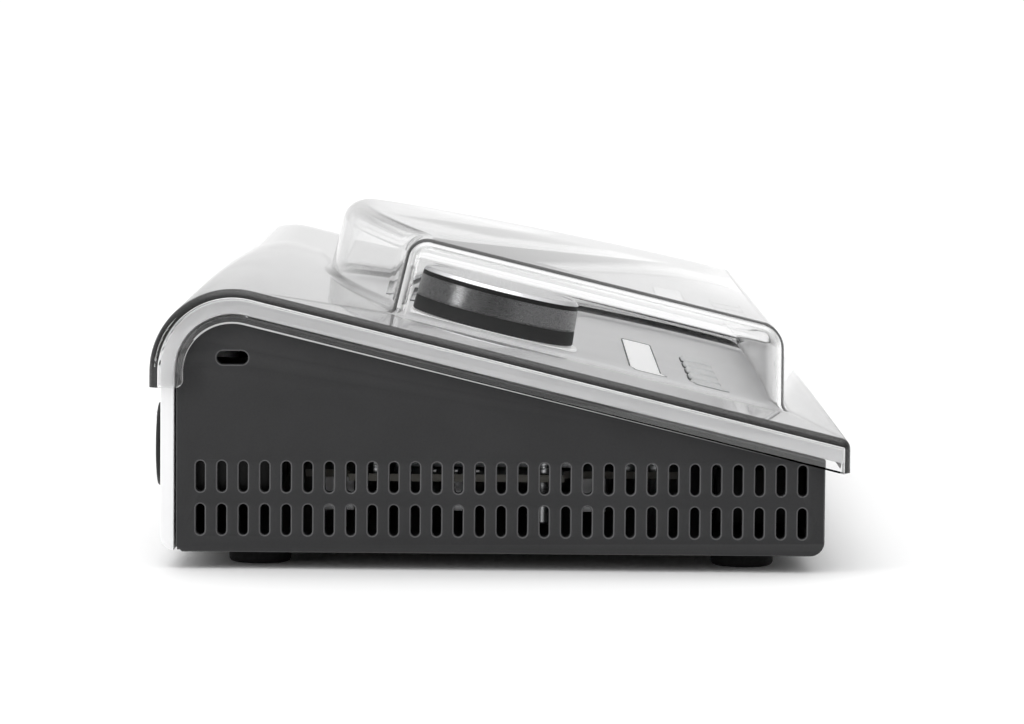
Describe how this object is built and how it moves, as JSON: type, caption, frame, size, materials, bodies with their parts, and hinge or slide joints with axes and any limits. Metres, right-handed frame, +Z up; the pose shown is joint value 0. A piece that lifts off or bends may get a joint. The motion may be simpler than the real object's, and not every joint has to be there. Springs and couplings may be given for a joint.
{
  "type": "desktop audio interface with dust cover",
  "caption": "Wedge-shaped desktop audio interface with a large level knob, vented sides and a clear domed dust cover that lifts off.",
  "frame": {"origin": "on the surface the feet stand on, under the middle of the whole outline", "axes": "+X along the width to the device's right, +Y to its rear wall, +Z up"},
  "size_m": [0.285, 0.1554, 0.0758],
  "materials": {
    "light_metal": "fine bead-blasted, clear anodised",
    "dark_metal": "dark grey textured powder coat",
    "rubber": "matt moulded",
    "black_plastic": "moulded, fine texture",
    "knob_metal": "dark anodised, satin",
    "light_ring": "frosted light guide",
    "button_plastic": "satin moulded",
    "smoked_lens": "polished smoked acrylic",
    "clear_plastic": "clear polished polycarbonate",
    "steel": "plain zinc plated",
    "aluminium": "extruded, bright",
    "circuit_board": "solder-masked laminate",
    "rocker_plastic": "satin moulded"
  },
  "bodies": {
    "case": {"base_plate": "dark_metal", "base_screw_1": "steel", "base_screw_2": "steel", "base_screw_3": "steel", "base_screw_4": "steel", "board_standoff_1": "steel", "board_standoff_2": "steel", "board_standoff_3": "steel", "board_standoff_4": "steel", "control_board": "circuit_board", "data_port_1": "steel", "data_port_2": "steel", "display_lens": "smoked_lens", "display_module": "black_plastic", "encoder_body": "black_plastic", "foot_front_left": "rubber", "foot_front_right": "rubber", "foot_rear_left": "rubber", "foot_rear_right": "rubber", "front_panel": "dark_metal", "headphone_jack_1": "black_plastic", "headphone_jack_2": "black_plastic", "heat_sink": "aluminium", "indicator_lens": "light_ring", "instrument_jack_1": "black_plastic", "instrument_jack_2": "black_plastic", "light_ring": "light_ring", "line_jack_1": "black_plastic", "line_jack_2": "black_plastic", "line_jack_3": "black_plastic", "line_jack_4": "black_plastic", "main_board": "circuit_board", "mic_line_jack_1": "black_plastic", "mic_line_jack_2": "black_plastic", "mic_line_jack_3": "black_plastic", "mic_line_jack_4": "black_plastic", "optical_port": "black_plastic", "power_inlet": "black_plastic", "power_switch_frame": "black_plastic", "side_panel_left": "dark_metal", "side_panel_right": "dark_metal", "top_wrap": "light_metal"},
    "cover": {"dust_cover": "clear_plastic"},
    "knob": {"level_knob": "knob_metal", "encoder_shaft": "steel"},
    "power_rocker": {"power_rocker": "rocker_plastic"},
    "input_button": {"input_button": "button_plastic"},
    "monitor_button": {"monitor_button": "button_plastic"},
    "option_button_1": {"option_button_1": "button_plastic"},
    "option_button_2": {"option_button_2": "button_plastic"},
    "option_button_3": {"option_button_3": "button_plastic"},
    "option_button_4": {"option_button_4": "button_plastic"},
    "option_button_5": {"option_button_5": "button_plastic"},
    "option_button_6": {"option_button_6": "button_plastic"}
  },
  "joints": [
    {"name": "cover_lift", "type": "slide", "parent": "case", "child": "cover", "axis": [0, 0, 1], "range_m": [0, 0.065]},
    {"name": "knob_spin", "type": "hinge", "parent": "case", "child": "knob", "pos_m": [-0.055, 0.00285, 0.04677], "axis": [0, -0.2345, 0.9721], "continuous": true},
    {"name": "rocker_tip", "type": "hinge", "parent": "case", "child": "power_rocker", "pos_m": [0.124, 0.07415, 0.0258], "axis": [1, 0, 0], "range_deg": [0, 16]},
    {"name": "input_button_press", "type": "slide", "parent": "case", "child": "input_button", "axis": [0, 0.2345, -0.9721], "range_m": [0, 0.0008], "stiffness_N_per_m": 600, "springref_m": -0.0003},
    {"name": "monitor_button_press", "type": "slide", "parent": "case", "child": "monitor_button", "axis": [0, 0.2345, -0.9721], "range_m": [0, 0.0008], "stiffness_N_per_m": 600, "springref_m": -0.0003},
    {"name": "option_button_1_press", "type": "slide", "parent": "case", "child": "option_button_1", "axis": [0, 0.2345, -0.9721], "range_m": [0, 0.0008], "stiffness_N_per_m": 600, "springref_m": -0.0003},
    {"name": "option_button_2_press", "type": "slide", "parent": "case", "child": "option_button_2", "axis": [0, 0.2345, -0.9721], "range_m": [0, 0.0008], "stiffness_N_per_m": 600, "springref_m": -0.0003},
    {"name": "option_button_3_press", "type": "slide", "parent": "case", "child": "option_button_3", "axis": [0, 0.2345, -0.9721], "range_m": [0, 0.0008], "stiffness_N_per_m": 600, "springref_m": -0.0003},
    {"name": "option_button_4_press", "type": "slide", "parent": "case", "child": "option_button_4", "axis": [0, 0.2345, -0.9721], "range_m": [0, 0.0008], "stiffness_N_per_m": 600, "springref_m": -0.0003},
    {"name": "option_button_5_press", "type": "slide", "parent": "case", "child": "option_button_5", "axis": [0, 0.2345, -0.9721], "range_m": [0, 0.0008], "stiffness_N_per_m": 600, "springref_m": -0.0003},
    {"name": "option_button_6_press", "type": "slide", "parent": "case", "child": "option_button_6", "axis": [0, 0.2345, -0.9721], "range_m": [0, 0.0008], "stiffness_N_per_m": 600, "springref_m": -0.0003}
  ]
}
